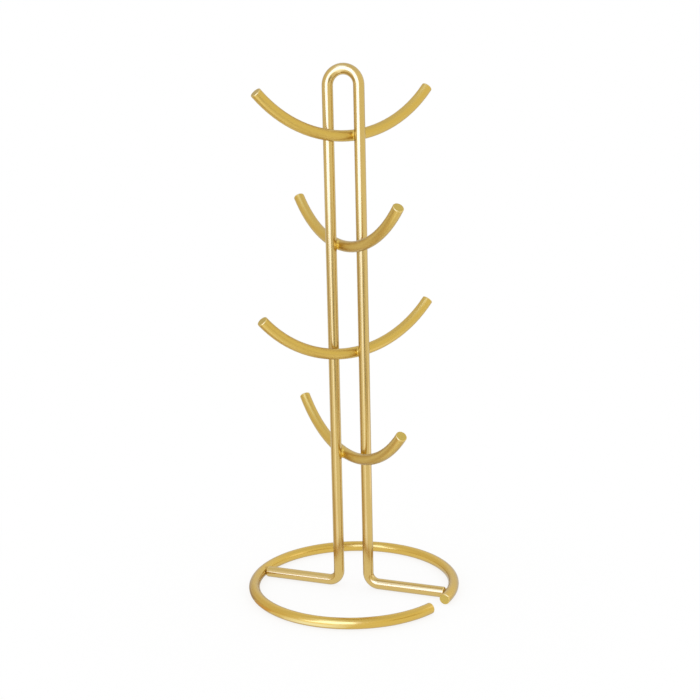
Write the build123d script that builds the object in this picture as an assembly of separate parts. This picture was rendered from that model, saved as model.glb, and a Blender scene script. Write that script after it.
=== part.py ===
from build123d import *
import os
from math import asin, atan2, cos, degrees, radians, sin, sqrt

# Driving dimensions, in millimetres and degrees
wire_diameter = 7.0  # one gauge of round bar for the whole tree
ring_outside_diameter = 138.8
ring_gap = 16.3  # opening between the ring's two cut ends, along its centreline
ring_past_foot = 11.0  # wire that runs on past the right foot to the ring's first cut end
bottom_arm_height = 89.9  # table to the centreline of the lowest arm, at its lowest point
arm_pitch = 68.2  # height from one arm to the next
top_rise = 43.9  # lowest point of the top arm's centreline to the top of the hairpin
arm_cut_length = 141.0  # straight length of bar before an arm is bent
arm_bend_radius = 83.6  # centreline
arm_turn = 46.5  # plan angle between an arm and the plane of the uprights
foot_bend_radius = 7.2  # centreline, where an upright turns out into its foot
foot_turn = 7.4  # plan angle that the feet are turned out of the plane of the uprights
end_chamfer = 0.5  # broken edge on every cut end
weld_gap = 0.2  # root gap left between two wires that are welded
weld_radius = 3.2  # reach of a weld bead from the point where two wires meet

# Arms from the top down, each with the distance that it is slid along its own bend
arm_slides = {"top_arm": 2.3, "upper_arm": -1.0, "lower_arm": 0.8, "bottom_arm": -1.1}

# Sizes that follow from those above
wire_radius = wire_diameter / 2
ring_radius = ring_outside_diameter / 2 - wire_radius
top_arm_height = bottom_arm_height + arm_pitch * (len(arm_slides) - 1)
overall_height = top_arm_height + top_rise
upright_offset = (wire_diameter + weld_gap) / sin(radians(arm_turn))  # axis of an upright from the middle
side_names = {"left": -1, "right": 1}
weld_clearance = weld_gap / 2  # room that a bead leaves for the bend of an arm or of the ring
weld_span = 4 * weld_radius  # length of wire that is cut out of a bead


def round_wire(centreline):
    """A round bar along a centreline, with both cut ends chamfered."""
    start = Plane(origin=centreline @ 0, z_dir=centreline % 0)
    bar = sweep(start * Circle(wire_radius), path=centreline)
    cut_ends = bar.faces().filter_by(GeomType.PLANE)
    return chamfer(cut_ends.edges(), end_chamfer)


def foot_direction(side):
    turned = radians(foot_turn)
    return Vector(side * cos(turned), -side * sin(turned), 0)


def foot_end(side):
    """The middle of a foot's cut end, whose outer corner stops at the ring's inner side."""
    turned = radians(foot_turn)
    inner_radius = ring_radius - wire_radius - weld_gap
    corner_offset = upright_offset * sin(turned) + wire_radius
    length = sqrt(inner_radius**2 - corner_offset**2) - upright_offset * cos(turned)
    return Vector(side * upright_offset, 0, wire_radius) + foot_direction(side) * length


def base_ring():
    """An open ring on the table, cut just in front of the right foot."""
    end = foot_end(side_names["right"])
    first_cut = degrees(atan2(end.Y, end.X)) - degrees(ring_past_foot / ring_radius)
    sweep_angle = 360 - degrees(ring_gap / ring_radius)
    table_plane = Plane.XY.offset(wire_radius)
    return round_wire(table_plane * CenterArc((0, 0), ring_radius, first_cut, sweep_angle))


def upright_frame():
    """One bar bent into a hairpin, whose two legs turn outwards into the feet."""
    bend_height = wire_radius + foot_bend_radius
    top_centre = overall_height - wire_radius - upright_offset
    pieces = {}
    for name, side in side_names.items():
        leg_foot = Vector(side * upright_offset, 0, bend_height)
        bend_end = Vector(side * upright_offset, 0, wire_radius) + foot_direction(side) * foot_bend_radius
        pieces[name] = [
            Line(foot_end(side), bend_end),
            TangentArc(leg_foot, bend_end, tangent=(0, 0, -1)),
            Line(leg_foot, Vector(side * upright_offset, 0, top_centre)),
        ]
    top_bend = ThreePointArc(
        (-upright_offset, 0, top_centre),
        (0, 0, top_centre + upright_offset),
        (upright_offset, 0, top_centre),
    )
    return round_wire(Wire([*pieces["left"], top_bend, *pieces["right"]]))


def arm_direction(turn):
    return Vector(cos(radians(turn)), sin(radians(turn)), 0)


def arm_wire(turn, height, slide):
    """A shallow hook at both ends: a bar bent to one arc that passes between the uprights."""
    half_angle = degrees(arm_cut_length / 2 / arm_bend_radius)
    start_angle = -90 - half_angle + degrees(slide / arm_bend_radius)
    bend_centre = Vector(0, 0, height + arm_bend_radius)
    along = arm_direction(turn)
    upright_plane = Plane(origin=bend_centre, x_dir=along, z_dir=along.cross(Vector(0, 0, 1)))
    return round_wire(upright_plane * CenterArc((0, 0), arm_bend_radius, start_angle, 2 * half_angle))


def foot_weld():
    """Weld metal on the left foot's cut end, that fills the wedge in front of the ring's round side."""
    side = side_names["left"]
    end = foot_end(side)
    bearing = atan2(end.Y, end.X)
    on_ring = Vector(ring_radius * cos(bearing), ring_radius * sin(bearing), wire_radius)
    along_ring = Vector(-sin(bearing), cos(bearing), 0)
    dome_align = (Align.CENTER, Align.CENTER, Align.MIN)
    bead = Plane(origin=end, z_dir=foot_direction(side)) * Sphere(weld_radius, arc_size1=0, align=dome_align)
    ring_wire = Plane(origin=on_ring, z_dir=along_ring) * Cylinder(wire_radius + weld_clearance, weld_span)
    return bead - ring_wire


def arm_weld():
    """Weld metal between the left upright and an arm in front of it, whose lowest point is at height 0."""
    along = -upright_offset * cos(radians(arm_turn))
    slope = asin(along / arm_bend_radius)
    rise = arm_bend_radius * (1 - cos(slope))
    on_arm = arm_direction(arm_turn) * along + Vector(0, 0, rise)
    on_upright = Vector(-upright_offset, 0, rise)
    tangent = arm_direction(arm_turn) * cos(slope) + Vector(0, 0, sin(slope))
    bead = Plane(origin=(on_arm + on_upright) / 2, z_dir=on_arm - on_upright) * Sphere(weld_radius)
    upright = Pos(on_upright) * Cylinder(wire_radius, weld_span)
    arm = Plane(origin=on_arm, z_dir=tangent) * Cylinder(wire_radius + weld_clearance, weld_span)
    return bead - upright - arm


parts = {"base_ring": base_ring(), "upright_frame": upright_frame()}

# The right-hand beads are the left-hand ones turned half round
half_turns = {"left": Rot(0, 0, 0), "right": Rot(0, 0, 180)}
foot_bead = foot_weld()
for name, half_turn in half_turns.items():
    parts[f"{name}_foot_weld"] = half_turn * foot_bead

# The arms cross in turn, so that each hangs its mugs clear of the next
front_bead = arm_weld()
rear_bead = mirror(front_bead, about=Plane.XZ)
for level, (arm_name, slide) in enumerate(arm_slides.items()):
    crosses_front = level % 2 == 0  # in front of the left upright, behind the right one
    turn = arm_turn if crosses_front else -arm_turn
    bead = front_bead if crosses_front else rear_bead
    height = top_arm_height - arm_pitch * level
    parts[arm_name] = arm_wire(turn, height, slide)
    for name, half_turn in half_turns.items():
        parts[f"{arm_name}_{name}_weld"] = Pos(0, 0, height) * half_turn * bead

os.makedirs("parts", exist_ok=True)
for node, shape in parts.items():
    export_step(shape, f"parts/{node}.step")
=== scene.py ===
from math import atan2, cos, pi, radians, sin, sqrt, tan

import bpy
from mathutils import Matrix, Vector


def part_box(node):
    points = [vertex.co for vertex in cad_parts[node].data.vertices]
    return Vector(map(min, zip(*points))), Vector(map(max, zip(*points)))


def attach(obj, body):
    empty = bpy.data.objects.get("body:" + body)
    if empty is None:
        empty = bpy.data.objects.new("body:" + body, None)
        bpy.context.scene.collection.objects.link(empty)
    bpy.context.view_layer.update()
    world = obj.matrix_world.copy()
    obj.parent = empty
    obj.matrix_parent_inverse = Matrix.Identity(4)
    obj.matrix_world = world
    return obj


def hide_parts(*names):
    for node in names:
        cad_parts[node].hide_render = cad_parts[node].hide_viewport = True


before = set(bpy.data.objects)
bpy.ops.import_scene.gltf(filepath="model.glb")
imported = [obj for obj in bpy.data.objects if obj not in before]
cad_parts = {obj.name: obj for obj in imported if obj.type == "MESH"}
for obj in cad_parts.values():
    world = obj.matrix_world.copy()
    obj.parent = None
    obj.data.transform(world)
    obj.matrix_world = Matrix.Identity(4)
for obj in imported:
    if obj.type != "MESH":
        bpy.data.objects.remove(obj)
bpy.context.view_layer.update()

up = Vector((0, 0, 1))
sides = {"left": -1, "right": 1}
print("frame loaded,", len(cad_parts), "nodes")

# lengths in metres, angles in radians; what the frame knows is read from it
ringLow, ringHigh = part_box("base_ring")
bar = {
    "radius": (ringHigh.z - ringLow.z) / 2,
    "corners": 48,  # of a section
    "runStep": 0.010,  # longest stretch between two sections of a straight run
    "bendStep": radians(3),  # turn between two sections of the arms and the ring
    "tightStep": radians(6),  # the same in the hairpin's own bends
    "rootGap": 0.0002,  # left between two bars that are welded
    "crispFrom": radians(30),  # edges that turn more than this are shaded sharp
}
cutEnd = {"chamfer": 0.0005, "rimSteps": 4, "seat": 0.0003}  # seat: plain loop that keeps the shading crisp


def freshStart():
    if bpy.context.object and bpy.context.object.mode != "OBJECT":
        bpy.ops.object.mode_set(mode="OBJECT")
    bpy.ops.object.select_all(action="DESELECT")


def closeShell(crispFrom):
    # both open ends of the piece in edit mode are capped, and its faces turned outwards
    bpy.ops.mesh.select_all(action="SELECT")
    bpy.ops.mesh.fill_holes(sides=0)
    bpy.ops.mesh.select_all(action="SELECT")
    bpy.ops.mesh.normals_make_consistent(inside=False)
    bpy.ops.object.mode_set(mode="OBJECT")
    bpy.ops.object.shade_smooth_by_angle(angle=crispFrom)


def endLoops():
    # radius and depth of each loop of a cut end, from the flat face to the full bar
    small = bar["radius"] - cutEnd["chamfer"]
    loops = [(small - cutEnd["seat"], 0.0, "face"), (small, 0.0, "face")]
    for step in range(1, cutEnd["rimSteps"] + 1):
        turn = pi / 2 * step / cutEnd["rimSteps"]
        loops.append((small + cutEnd["chamfer"] * sin(turn), cutEnd["chamfer"] * (1 - cos(turn)), "rim"))
    loops.append((bar["radius"], cutEnd["chamfer"] + cutEnd["seat"], "bar"))
    return loops


class BentBar:
    # one length of bar, drawn out and bent in edit mode from its first cut end to its last
    def __init__(self, name, place, heading):
        freshStart()
        self.loops = endLoops()
        self.place, self.heading = Vector(place), Vector(heading).normalized()
        firstRadius, _, firstMark = self.loops[0]
        self.marks = [firstMark]
        bpy.ops.mesh.primitive_circle_add(
            vertices=bar["corners"], radius=firstRadius, location=self.place,
            rotation=self.heading.to_track_quat("Z", "Y").to_euler())
        self.piece = bpy.context.object
        self.piece.name = self.piece.data.name = name
        bpy.ops.object.transform_apply(location=True, rotation=True, scale=True)
        bpy.ops.object.mode_set(mode="EDIT")
        bpy.ops.mesh.select_mode(type="VERT")
        bpy.ops.mesh.select_all(action="SELECT")
        for (radius, depth, _), (nextRadius, nextDepth, mark) in zip(self.loops, self.loops[1:]):
            self.grow(nextDepth - depth, nextRadius / radius, mark)
        self.endLength = cutEnd["chamfer"] + cutEnd["seat"]

    def grow(self, length, scale=1.0, mark="bar"):
        step = self.heading * length
        bpy.ops.mesh.extrude_region_move(TRANSFORM_OT_translate={"value": step})
        self.place = self.place + step
        if scale != 1.0:
            bpy.ops.transform.resize(value=(scale, scale, scale), center_override=self.place)
        self.marks.append(mark)

    def straight(self, length):
        sections = max(1, round(length / bar["runStep"]))
        for _ in range(sections):
            self.grow(length / sections)

    def bend(self, turn, centre, axis, step):
        sections = max(1, round(turn / step))
        bpy.ops.mesh.spin(steps=sections, angle=-turn, center=centre, axis=axis)  # spin counts the other way
        self.marks += ["bar"] * sections
        turned = Matrix.Rotation(turn, 3, axis)
        self.place = turned @ (self.place - Vector(centre)) + Vector(centre)
        self.heading = turned @ self.heading

    def finish(self):
        back = self.loops[::-1]
        for (radius, depth, _), (nextRadius, nextDepth, mark) in zip(back, back[1:]):
            self.grow(depth - nextDepth, nextRadius / radius, mark)
        closeShell(bar["crispFrom"])
        self.writeBarCoord()
        return self.piece

    def writeBarCoord(self):
        # where each point lay in the straight bar, so that drawing lines follow the bends
        mesh, corners = self.piece.data, bar["corners"]
        points = [v.co.copy() for v in mesh.vertices]
        straight = mesh.attributes.new("barCoord", "FLOAT_VECTOR", "POINT")
        # the rounded rim of each cut end, marked for the painted highlight on it
        rim = mesh.attributes.new("rimPaintedHighlight", "FLOAT", "POINT")
        face = mesh.attributes.new("cutFace", "FLOAT", "POINT")
        along, lastCentre = 0.0, None
        for section, mark in enumerate(self.marks):
            loop = points[section * corners:(section + 1) * corners]
            centre = sum(loop, Vector()) / corners
            along += (centre - lastCentre).length if lastCentre else 0.0
            lastCentre = centre
            for corner, point in enumerate(loop):
                turn, reach = 2 * pi * corner / corners, (point - centre).length
                index = section * corners + corner
                straight.data[index].vector = (reach * cos(turn), reach * sin(turn), along)
                rim.data[index].value = mark == "rim"
                face.data[index].value = mark == "face"


# base ring, cut open in front of the right foot
ring = {
    "radius": (ringHigh.x - ringLow.x) / 2 - bar["radius"],
    "pastFoot": 0.0110,  # bar that runs on past the right foot
    "gap": 0.0163,
}
# hairpin: two uprights and two feet in one bar
hairpin = {
    "crossing": radians(46.5),  # plan angle between an arm and the plane of the uprights
    "footTurn": radians(7.4),
    "footBend": 0.0072,
    "top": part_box("upright_frame")[1].z,
}
hairpin["offset"] = (2 * bar["radius"] + bar["rootGap"]) / sin(hairpin["crossing"])


def footHeading(side):
    return Vector((side * cos(hairpin["footTurn"]), -side * sin(hairpin["footTurn"]), 0))


def footEnd(side):
    inside = ring["radius"] - bar["radius"] - bar["rootGap"]
    corner = hairpin["offset"] * sin(hairpin["footTurn"]) + bar["radius"]
    length = sqrt(inside**2 - corner**2) - hairpin["offset"] * cos(hairpin["footTurn"])
    return Vector((side * hairpin["offset"], 0, bar["radius"])) + footHeading(side) * length


def makeRing():
    rightEnd = footEnd(sides["right"])
    firstCut = atan2(rightEnd.y, rightEnd.x) - ring["pastFoot"] / ring["radius"]
    place = Vector((ring["radius"] * cos(firstCut), ring["radius"] * sin(firstCut), bar["radius"]))
    wire = BentBar("base_ring_wire", place, (-sin(firstCut), cos(firstCut), 0))
    trim = wire.endLength / ring["radius"]
    wire.bend(2 * pi - ring["gap"] / ring["radius"] - 2 * trim, (0, 0, bar["radius"]), up, bar["bendStep"])
    return wire.finish()


def makeHairpin():
    offset, footBend = hairpin["offset"], hairpin["footBend"]
    leftEnd = footEnd(sides["left"])
    inward, outward = -footHeading(sides["left"]), footHeading(sides["right"])
    topCentre = hairpin["top"] - bar["radius"] - offset
    bendHeight = bar["radius"] + footBend
    footRun = (leftEnd - Vector((-offset, 0, bar["radius"]))).length - footBend
    wire = BentBar("upright_frame_wire", leftEnd, inward)
    wire.straight(footRun - wire.endLength)
    leftBend = Vector((-offset, 0, bendHeight)) - inward * footBend
    wire.bend(pi / 2, leftBend, inward.cross(up), bar["tightStep"])
    wire.straight(topCentre - bendHeight)
    wire.bend(pi, Vector((0, 0, topCentre)), Vector((0, 1, 0)), bar["tightStep"])
    wire.straight(topCentre - bendHeight)
    rightBend = Vector((offset, 0, bendHeight)) + outward * footBend
    wire.bend(pi / 2, rightBend, (-up).cross(outward), bar["tightStep"])
    wire.straight(footRun - wire.endLength)
    return wire.finish()


# four arms, crossed in turn: the first passes in front of the left upright
arms = {
    "bendRadius": 0.0836,
    "length": 0.141,
    "slides": {"top_arm": 0.0023, "upper_arm": -0.0010, "lower_arm": 0.0008, "bottom_arm": -0.0011},
}


def armTurn(name):
    return hairpin["crossing"] * (1 if list(arms["slides"]).index(name) % 2 == 0 else -1)


def armHeight(name):
    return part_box(name)[0].z + bar["radius"]


def makeArm(name):
    turn, bendRadius = armTurn(name), arms["bendRadius"]
    along = Vector((cos(turn), sin(turn), 0))
    centre = Vector((0, 0, armHeight(name) + bendRadius))
    half = arms["length"] / 2 / bendRadius
    start = -half + arms["slides"][name] / bendRadius  # from the lowest point
    place = centre + (along * sin(start) - up * cos(start)) * bendRadius
    wire = BentBar(name + "_wire", place, along * cos(start) + up * sin(start))
    trim = wire.endLength / bendRadius
    wire.bend(2 * (half - trim), centre, along.cross(up), bar["bendStep"])
    return wire.finish()


wires = {"base_ring": makeRing(), "upright_frame": makeHairpin()}
for name in arms["slides"]:
    wires[name] = makeArm(name)
for node, piece in wires.items():
    low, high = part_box(node)
    points = [v.co for v in piece.data.vertices]
    stray = 0.0
    for axis in range(3):
        places = [point[axis] for point in points]
        stray = max(stray, abs(min(places) - low[axis]), abs(max(places) - high[axis]))
    print(piece.name, len(points), "points, off its node by", round(stray * 1000, 3), "mm")
    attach(piece, "root")
    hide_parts(node)

# weld fillet: modelled once as a thin washer, then drawn out onto the two bars that it joins
fillet = {
    "thickness": 0.0001,  # of the washer, that starts inside the root gap
    "sink": 0.00005,
    # radius of each loop and how far it is drawn out, from the toe on a bar in to the waist
    "bar": ((0.0032, 1.0), (0.00287, 0.84), (0.00262, 0.64), (0.00246, 0.42), (0.00237, 0.2)),
    "end": ((0.0029, 1.0), (0.00268, 0.84), (0.00252, 0.64), (0.00242, 0.42), (0.00236, 0.2)),
    "waist": 0.00234,
    "crispFrom": radians(40),
}


def washer(firstToe, lastToe):
    freshStart()
    half, corners = fillet["thickness"] / 2, bar["corners"]
    loops = [(radius, -half * drawn, drawn, "first") for radius, drawn in fillet[firstToe]]
    loops.append((fillet["waist"], 0.0, 0.0, "first"))
    loops += [(radius, half * drawn, drawn, "last") for radius, drawn in fillet[lastToe][::-1]]
    firstRadius, firstHeight, _, _ = loops[0]
    bpy.ops.mesh.primitive_circle_add(vertices=corners, radius=firstRadius, location=(0, 0, firstHeight))
    piece = bpy.context.object
    bpy.ops.object.transform_apply(location=True, rotation=True, scale=True)
    bpy.ops.object.mode_set(mode="EDIT")
    bpy.ops.mesh.select_all(action="SELECT")
    for (radius, height, _, _), (nextRadius, nextHeight, _, _) in zip(loops, loops[1:]):
        scale = nextRadius / radius
        bpy.ops.mesh.extrude_region_move(TRANSFORM_OT_translate={"value": (0, 0, nextHeight - height)})
        bpy.ops.transform.resize(value=(scale, scale, 1), center_override=(0, 0, nextHeight))
    bpy.ops.object.mode_set(mode="OBJECT")
    for end in ("first", "last"):
        piece.vertex_groups.new(name=end)
    for section, (_, _, drawn, end) in enumerate(loops):
        points = list(range(section * corners, (section + 1) * corners))
        piece.vertex_groups[end].add(points, drawn, "REPLACE")
    return piece


def makeFillet(pattern, node, contact, otherBar):
    # from the hairpin to the other bar
    freshStart()
    pattern.select_set(True)
    bpy.context.view_layer.objects.active = pattern
    bpy.ops.object.duplicate(linked=False)
    piece = bpy.context.object
    piece.name = piece.data.name = node + "_fillet"
    middle, normal = contact
    piece.location = middle
    piece.rotation_euler = normal.to_track_quat("Z", "Y").to_euler()
    for end, target in (("first", wires["upright_frame"]), ("last", otherBar)):
        draw = piece.modifiers.new(end, "SHRINKWRAP")
        draw.wrap_method, draw.use_project_z = "PROJECT", True
        draw.use_negative_direction, draw.use_positive_direction = end == "first", end == "last"
        draw.target, draw.vertex_group, draw.offset = target, end, -fillet["sink"]
        bpy.ops.object.modifier_apply(modifier=end)
    bpy.ops.object.transform_apply(location=True, rotation=True, scale=True)
    bpy.ops.object.mode_set(mode="EDIT")
    closeShell(fillet["crispFrom"])
    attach(piece, "root")
    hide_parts(node)
    return piece


def armContact(name, side):
    # middle of the root gap between an arm and an upright, and the way from the upright to the arm
    turn, bendRadius = armTurn(name), arms["bendRadius"]
    along = side * hairpin["offset"] * cos(turn)
    height = armHeight(name) + bendRadius - sqrt(bendRadius**2 - along**2)
    onArm = Vector((along * cos(turn), along * sin(turn), height))
    onUpright = Vector((side * hairpin["offset"], 0, height))
    return (onArm + onUpright) / 2, onArm - onUpright


def footContact(side):
    # the same between a foot and the ring
    end = footEnd(side)
    away = Vector((end.x, end.y, 0)).normalized()
    onRing = away * (ring["radius"] - bar["radius"]) + up * bar["radius"]
    return (end + onRing) / 2, footHeading(side)


fillets = []
crossPattern, footPattern = washer("bar", "bar"), washer("end", "bar")
for sideName, side in sides.items():
    footBead = sideName + "_foot_weld"
    fillets.append(makeFillet(footPattern, footBead, footContact(side), wires["base_ring"]))
    for name in arms["slides"]:
        armBead = name + "_" + sideName + "_weld"
        fillets.append(makeFillet(crossPattern, armBead, armContact(name, side), wires[name]))
for pattern in (crossPattern, footPattern):
    bpy.data.objects.remove(pattern)
print(len(fillets), "weld fillets drawn")


class Value:
    # a socket that adds and multiplies like a number
    def __init__(self, shader, socket):
        self.shader, self.socket = shader, socket

    def maths(self, operation, first, second):
        return self.shader.node("ShaderNodeMath", {"operation": operation}, {0: first, 1: second})

    def __add__(self, other):
        return self.maths("ADD", self, other)

    def __sub__(self, other):
        return self.maths("SUBTRACT", self, other)

    def __rsub__(self, other):
        return self.maths("SUBTRACT", other, self)

    def __mul__(self, other):
        return self.maths("MULTIPLY", self, other)

    __radd__ = __add__
    __rmul__ = __mul__


class Shader:
    def __init__(self, tree):
        self.tree = tree
        tree.nodes.clear()

    def node(self, kind, settings=None, sockets=None, out=0):
        made = self.tree.nodes.new(kind)
        for key, setting in (settings or {}).items():
            setattr(made, key, setting)
        for key, value in (sockets or {}).items():
            if isinstance(value, Value):
                self.tree.links.new(value.socket, made.inputs[key])
            else:
                made.inputs[key].default_value = value
        return Value(self, made.outputs[out]) if len(made.outputs) else made


def newMaterial(name):
    material = bpy.data.materials.new(name)
    material.use_nodes = True
    return material, Shader(material.node_tree)


def linear(red, green, blue):
    # screen colour, 0 to 255, as the light that it stands for on the usual screen curve
    def one(level):
        share = level / 255
        return share / 12.92 if share <= 0.04045 else ((share + 0.055) / 1.055) ** 2.4
    return (one(red), one(green), one(blue), 1.0)


# satin gold plating under clear lacquer; the grain is the drawn bar's own, lengthwise
satin = {
    "edge": (0.45, 0.42, 0.40, 1.0),  # tint at grazing angles
    "lacquer": 1.0,
    "lacquerDuller": 0.07,  # how much rougher the lacquer is than the metal
    # grain, streaks, clouds and cutMarks: scale and detail of each pattern
    "grain": (5000.0, 2.0),
    "grainStretch": (1.0, 1.0, 0.02),  # across, across, along
    "grainDepth": 0.000003,
    "streaks": (1200.0, 1.0),
    "clouds": (90.0, 3.0),
    "unevenness": 0.08,  # spread of the roughness over the streaks, and over the clouds
    "cutMarks": (3500.0, 2.0),
    "cutStretch": (1.0, 0.06, 1.0),
    "cutRoughness": 0.40,
}
tones = {
    "base_ring": {"gold": linear(216, 182, 76), "warm": linear(213, 173, 64), "roughness": 0.20},
    # painted sheen: the uprights' gold is painted paler than the ring's and the arms', spreading their white
    # highlight over the bar
    "upright_frame": {"gold": linear(211, 182, 104), "warm": linear(208, 175, 94), "roughness": 0.17},
    "arms": {"gold": linear(214, 182, 80), "warm": linear(211, 174, 68), "roughness": 0.34},
    # painted highlight: the rim round each cut end is painted paler than the bar
    "rim": linear(226, 197, 112),
    "cut": linear(206, 178, 76),
}


def noise(shader, place, scale, detail):
    return shader.node("ShaderNodeTexNoise", {}, {"Vector": place, "Scale": scale, "Detail": detail})


def blend(shader, share, first, second):
    # by number, because the node's sockets for numbers and colours share their names
    return shader.node("ShaderNodeMix", {"data_type": "RGBA"}, {0: share, 6: first, 7: second}, out=2)


def stretched(shader, place, scale):
    return shader.node("ShaderNodeMapping", {}, {"Vector": place, "Scale": scale})


def mark(shader, name, out="Fac"):
    return shader.node("ShaderNodeAttribute", {"attribute_name": name}, out=out)


def spread(pattern, amount):
    # a pattern from 0 to 1 as a change up and down
    return (pattern - 0.5) * amount


def lacquered(shader, colour, meanRough, rough, depth, relief):
    # the metal is rough as its pattern says, the lacquer evenly
    bump = shader.node("ShaderNodeBump", {}, {"Distance": depth, "Height": relief})
    metal = shader.node("ShaderNodeBsdfPrincipled", {}, {
        "Base Color": colour, "Metallic": 1.0, "Roughness": rough, "Specular Tint": satin["edge"],
        "Normal": bump, "Coat Weight": satin["lacquer"],
        "Coat Roughness": meanRough + satin["lacquerDuller"]})
    shader.node("ShaderNodeOutputMaterial", {}, {"Surface": metal})


def satinGold(name, tone):
    material, shader = newMaterial(name)
    place = mark(shader, "barCoord", out="Vector")
    rim, cut = mark(shader, "rimPaintedHighlight"), mark(shader, "cutFace")
    lengthwise = stretched(shader, place, satin["grainStretch"])
    grain = noise(shader, lengthwise, *satin["grain"])
    streaks = noise(shader, lengthwise, *satin["streaks"])
    clouds = noise(shader, place, *satin["clouds"])
    cutMarks = noise(shader, stretched(shader, place, satin["cutStretch"]), *satin["cutMarks"])
    plated = blend(shader, clouds, tone["gold"], tone["warm"])
    # the cut face has its own colour, and the rim round it a painted highlight
    colour = blend(shader, rim, blend(shader, cut, plated, tones["cut"]), tones["rim"])
    drawn = tone["roughness"] + spread(streaks, satin["unevenness"]) + spread(clouds, satin["unevenness"])
    rough = drawn * (1 - cut) + cut * satin["cutRoughness"]
    relief = grain * (1 - cut) + cutMarks * cut
    lacquered(shader, colour, tone["roughness"], rough, satin["grainDepth"], relief)
    return material


# weld metal under the same plating, with the ripples of the bead
weld = {
    # the arms' beads are painted much paler than the bars: a painted highlight at each joint, standing for
    # the upright's highlight reflected there, over the shade of the corner
    "arms": {"gold": linear(250, 222, 104), "warm": linear(242, 204, 78)},
    "feet": {"gold": linear(208, 174, 82), "warm": linear(200, 160, 64)},
    "clouds": (700.0, 2.0),
    "ripples": (1800.0, 2.0),
    "rippleDepth": 0.00002,
    "roughness": 0.46,
    "unevenness": 0.1,
}


def weldGold(name):
    material, shader = newMaterial("weld_gold_" + name)
    place = shader.node("ShaderNodeTexCoord", out="Object")
    clouds = noise(shader, place, *weld["clouds"])
    ripples = noise(shader, place, *weld["ripples"])
    colour = blend(shader, clouds, weld[name]["gold"], weld[name]["warm"])
    rough = weld["roughness"] + spread(clouds, weld["unevenness"])
    lacquered(shader, colour, weld["roughness"], rough, weld["rippleDepth"], ripples)
    return material


armGold = satinGold("satin_gold_arms", tones["arms"])
beadGold = {"arms": weldGold("arms"), "feet": weldGold("feet")}
for node, piece in wires.items():
    piece.data.materials.append(satinGold("satin_gold_" + node, tones[node]) if node in tones else armGold)
for piece in fillets:
    piece.data.materials.append(beadGold["feet" if "foot" in piece.name else "arms"])
print("gold finished")

# stage: a white floor that keeps only a faint shadow round the tree
white = (1.0, 1.0, 1.0, 1.0)
stageSet = {
    "floorSize": 12.0,
    "floorColour": (0.92, 0.92, 0.92, 1.0),
    "shadowShare": 0.18,
    "shadowReach": (0.10, 0.30),  # from the middle of the ring: where the shadow starts to fade, and is gone
}


def outwards(bearing):
    # level direction from the tree, counted from the front towards the right
    return Vector((sin(bearing), -cos(bearing), 0))


def fade(shader, value, low, high, first=0.0, last=1.0):
    # runs softly from first to last while the value runs from low to high
    return shader.node("ShaderNodeMapRange", {"interpolation_type": "SMOOTHSTEP"}, {
        "Value": value, "From Min": low, "From Max": high, "To Min": first, "To Max": last})


def seenRay(shader):
    # rays that show the background: straight, mirrored or through glass
    straight = shader.node("ShaderNodeLightPath", out="Is Camera Ray")
    mirrored = shader.node("ShaderNodeLightPath", out="Is Glossy Ray")
    through = shader.node("ShaderNodeLightPath", out="Is Transmission Ray")
    capped = {"operation": "ADD", "use_clamp": True}
    return shader.node("ShaderNodeMath", capped, {0: straight + mirrored, 1: through})


def makeFloor():
    freshStart()
    bpy.ops.mesh.primitive_plane_add(size=stageSet["floorSize"])
    floor = bpy.context.object
    floor.name = "floor"
    material, shader = newMaterial("white_floor")
    lit = shader.node("ShaderNodeBsdfDiffuse", {}, {"Color": stageSet["floorColour"]})
    glow = shader.node("ShaderNodeEmission", {}, {"Color": white})
    place = shader.node("ShaderNodeTexCoord", out="Object")
    reach = shader.node("ShaderNodeVectorMath", {"operation": "LENGTH"}, {0: place}, out="Value")
    share = fade(shader, reach, *stageSet["shadowReach"], first=stageSet["shadowShare"], last=0.0)
    mixed = shader.node("ShaderNodeMixShader", {}, {0: seenRay(shader) * (1 - share), 1: lit, 2: glow})
    shader.node("ShaderNodeOutputMaterial", {}, {"Surface": mixed})
    floor.data.materials.append(material)


# room round the stage, as the metal sees it: warm walls at the sides, dimmer overhead
studio = {
    "fill": 1.087,  # strength for all that isn't mirrored or seen
    "overhead": 0.82,
    "overheadFade": (0.55, 0.98),  # height of the direction, from 0 level to 1 straight up
    "walls": ((radians(78), (0.97, 0.95, 0.82, 1.0)), (radians(-100), (0.84, 0.79, 0.68, 1.0))),
    "wallFade": (0.45, 0.85),  # 1 is the middle of a wall
}


def makeWorld():
    world = bpy.data.worlds.new("soft_studio")
    bpy.context.scene.world = world
    world.use_nodes = True
    shader = Shader(world.node_tree)
    direction = shader.node("ShaderNodeTexCoord", out="Generated")
    height = shader.node("ShaderNodeSeparateXYZ", {}, {0: direction}, out="Z")
    room = white
    for bearing, colour in studio["walls"]:
        toWall = {0: direction, 1: outwards(bearing)}
        facing = shader.node("ShaderNodeVectorMath", {"operation": "DOT_PRODUCT"}, toWall, out="Value")
        room = blend(shader, fade(shader, facing, *studio["wallFade"]), room, colour)
    shade = fade(shader, height, *studio["overheadFade"], first=1.0, last=studio["overhead"])
    straight, seen = shader.node("ShaderNodeLightPath", out="Is Camera Ray"), seenRay(shader)
    colour = blend(shader, seen - straight, white, room)
    strength = straight + (seen - straight) * shade + (1 - seen) * studio["fill"]
    light = shader.node("ShaderNodeBackground", {}, {"Color": colour, "Strength": strength})
    shader.node("ShaderNodeOutputWorld", {}, {"Surface": light})


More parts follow.
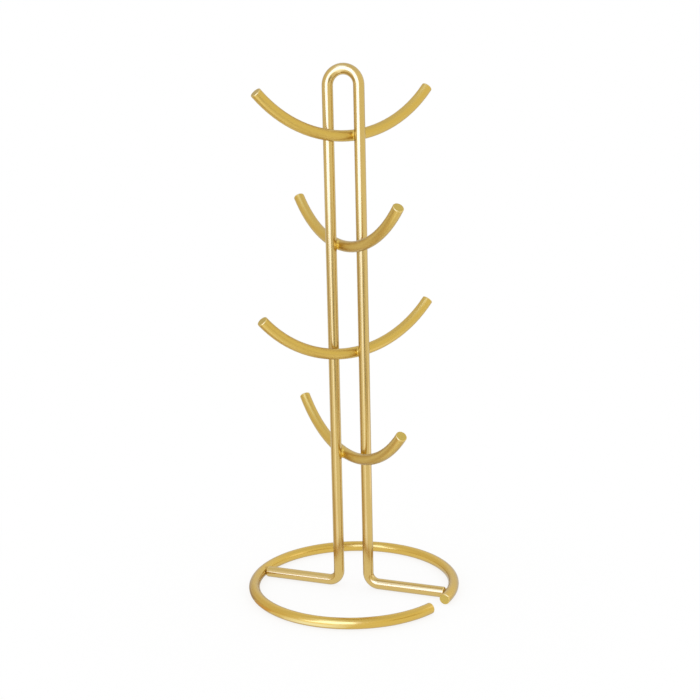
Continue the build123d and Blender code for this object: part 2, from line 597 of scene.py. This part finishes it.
# radiance is over that of the room behind; cool lamps, so that their reflection in the gold comes out cream
lamps = {
    "softbox": {  # tall, in front
        "bearing": radians(-7.5), "distance": 1.15, "middle": 0.82, "tilt": 0.0,
        "width": 0.906, "height": 1.3, "radiance": 5.2, "colour": (0.19, 0.30, 1.0)},
    "strip": {  # low, to the left of it
        "bearing": radians(-34.3), "distance": 1.15, "middle": 0.245, "tilt": 0.0,
        "width": 0.234, "height": 0.25, "radiance": 5.2, "colour": (0.19, 0.30, 1.0)},
    "canopy": {  # above both
        "bearing": radians(-28), "distance": 0.66, "middle": 1.3, "tilt": radians(62),
        "width": 0.6, "height": 0.6, "radiance": 1.6, "colour": (0.18, 0.32, 1.0)},
}


def makeLamp(name):
    lamp = lamps[name]
    light = bpy.data.lights.new(name, "AREA")
    light.shape = "RECTANGLE"
    light.size, light.size_y = lamp["width"], lamp["height"]
    light.color = lamp["colour"]
    light.energy = lamp["radiance"] * pi * light.size * light.size_y
    holder = bpy.data.objects.new(name, light)
    bpy.context.scene.collection.objects.link(holder)
    away = outwards(lamp["bearing"])
    holder.location = away * lamp["distance"] + up * lamp["middle"]
    back = away * cos(lamp["tilt"]) + up * sin(lamp["tilt"])
    holder.rotation_euler = back.to_track_quat("Z", "Y").to_euler()
    holder.visible_diffuse = False  # the floor stays white


# cards that only the metal sees, each spreading away from the tree, with soft sides:
# the lamps' light on the floor, a glow at the right-hand back, and the darker places of the room
cards = {
    "pool": {
        "bearing": radians(-9), "halfAngle": radians(11), "near": 0.075, "far": 1.13,
        "low": 0.002, "high": 0.172, "soft": 0.1,
        "light": ((1.25, 1.28, 1.45, 1.0), (2.0, 2.5, 5.0, 1.0))},
    "shine": {
        "bearing": radians(-8), "halfAngle": radians(26), "near": 0.066, "far": 0.13,
        "low": 0.002, "high": 0.002, "soft": 0.9,
        "light": ((1.3, 1.6, 3.2, 1.0), (1.4, 1.9, 4.8, 1.0))},
    "left": {
        "bearing": radians(-76), "halfAngle": radians(21), "near": 0.06, "far": 2.6,
        "low": 0.002, "high": 0.052, "soft": 0.1,
        "light": ((0.66, 0.55, 0.41, 1.0), (0.50, 0.48, 0.46, 1.0))},
    "leftNear": {
        "bearing": radians(-49), "halfAngle": radians(14), "near": 0.067, "far": 0.2,
        "low": 0.002, "high": 0.002, "soft": 0.4,
        "light": ((0.88, 0.64, 0.38, 1.0), (0.72, 0.60, 0.45, 1.0))},
    "front": {
        "bearing": radians(31), "halfAngle": radians(10), "near": 0.52, "far": 2.3,
        "low": 0.002, "high": 0.002, "soft": 0.1,
        "light": ((0.24, 0.22, 0.20, 1.0), (0.22, 0.20, 0.18, 1.0))},
    "rightNear": {
        "bearing": radians(63), "halfAngle": radians(17), "near": 0.3, "far": 0.3,
        "low": 0.04, "high": 0.1, "soft": 0.2,
        "light": ((0.6, 0.52, 0.37, 1.0), (0.72, 0.62, 0.46, 1.0))},
    "rightFar": {
        "bearing": radians(58), "halfAngle": radians(8), "near": 0.5, "far": 0.5,
        "low": 0.1, "high": 0.17, "soft": 0.2,
        "light": ((0.56, 0.49, 0.38, 1.0), (0.56, 0.49, 0.38, 1.0))},
    "glow": {
        "bearing": radians(101), "halfAngle": radians(14), "near": 0.15, "far": 0.15,
        "low": 0.02, "high": 0.105, "soft": 0.3,
        "light": ((1.35, 1.35, 1.8, 1.0), (1.3, 1.32, 1.9, 1.0))},
}
cardGrid = {"across": 16, "outward": 8}  # faces of a card


def makeCard(name):
    card = cards[name]
    away = outwards(card["bearing"])
    aside = away.cross(up)
    freshStart()
    bpy.ops.mesh.primitive_grid_add(
        x_subdivisions=cardGrid["across"], y_subdivisions=cardGrid["outward"], size=1)
    piece = bpy.context.object
    piece.name = name + "_card"
    margin = piece.data.attributes.new("margin", "FLOAT", "POINT")
    outward = piece.data.attributes.new("outward", "FLOAT", "POINT")
    for corner in piece.data.vertices:
        sideways, share = 2 * corner.co.x, corner.co.y + 0.5  # from -1 to 1, and from 0 near to 1 far
        margin.data[corner.index].value = 1 - abs(sideways)
        outward.data[corner.index].value = share
        reach = card["near"] + (card["far"] - card["near"]) * share
        corner.co = away * reach + aside * (sideways * reach * tan(card["halfAngle"]))
        corner.co.z = card["low"] + (card["high"] - card["low"]) * share
    piece.visible_camera = piece.visible_diffuse = piece.visible_shadow = False
    material, shader = newMaterial(name + "_card")
    inside = fade(shader, mark(shader, "margin"), 0.0, card["soft"])
    light = blend(shader, mark(shader, "outward"), *card["light"])
    glow = shader.node("ShaderNodeEmission", {}, {"Color": blend(shader, inside, white, light)})
    shader.node("ShaderNodeOutputMaterial", {}, {"Surface": glow})
    piece.data.materials.append(material)


# camera, from the photograph's own perspective
view = {
    "bearing": radians(13.9264),
    "distance": 0.71648,
    "height": 0.29762,
    "yaw": radians(-0.0606),
    "pitch": radians(10.8662),
    "roll": radians(-1.2606),
    "focalPixels": 1142.58,
    "framePixels": 700,
    "sensor": 36.0,  # millimetres
    "clipStart": 0.01,
}


def makeCamera():
    aim = -outwards(view["bearing"] + view["yaw"])
    ahead = aim * cos(view["pitch"]) - up * sin(view["pitch"])
    level = ahead.cross(up).normalized()
    top = level.cross(ahead)
    right = level * cos(view["roll"]) + top * sin(view["roll"])
    top = top * cos(view["roll"]) - level * sin(view["roll"])
    place = outwards(view["bearing"]) * view["distance"] + up * view["height"]
    lens = bpy.data.cameras.new("camera")
    lens.sensor_width = view["sensor"]
    lens.lens = view["focalPixels"] / view["framePixels"] * view["sensor"]
    lens.clip_start = view["clipStart"]
    camera = bpy.data.objects.new("camera", lens)
    bpy.context.scene.collection.objects.link(camera)
    camera.matrix_world = Matrix((
        (right.x, top.x, -ahead.x, place.x), (right.y, top.y, -ahead.y, place.y),
        (right.z, top.z, -ahead.z, place.z), (0, 0, 0, 1)))
    bpy.context.scene.camera = camera


makeFloor()
makeWorld()
for name in lamps:
    makeLamp(name)
for name in cards:
    makeCard(name)
makeCamera()
bpy.context.scene.view_settings.view_transform = "Standard"
print("stage set")
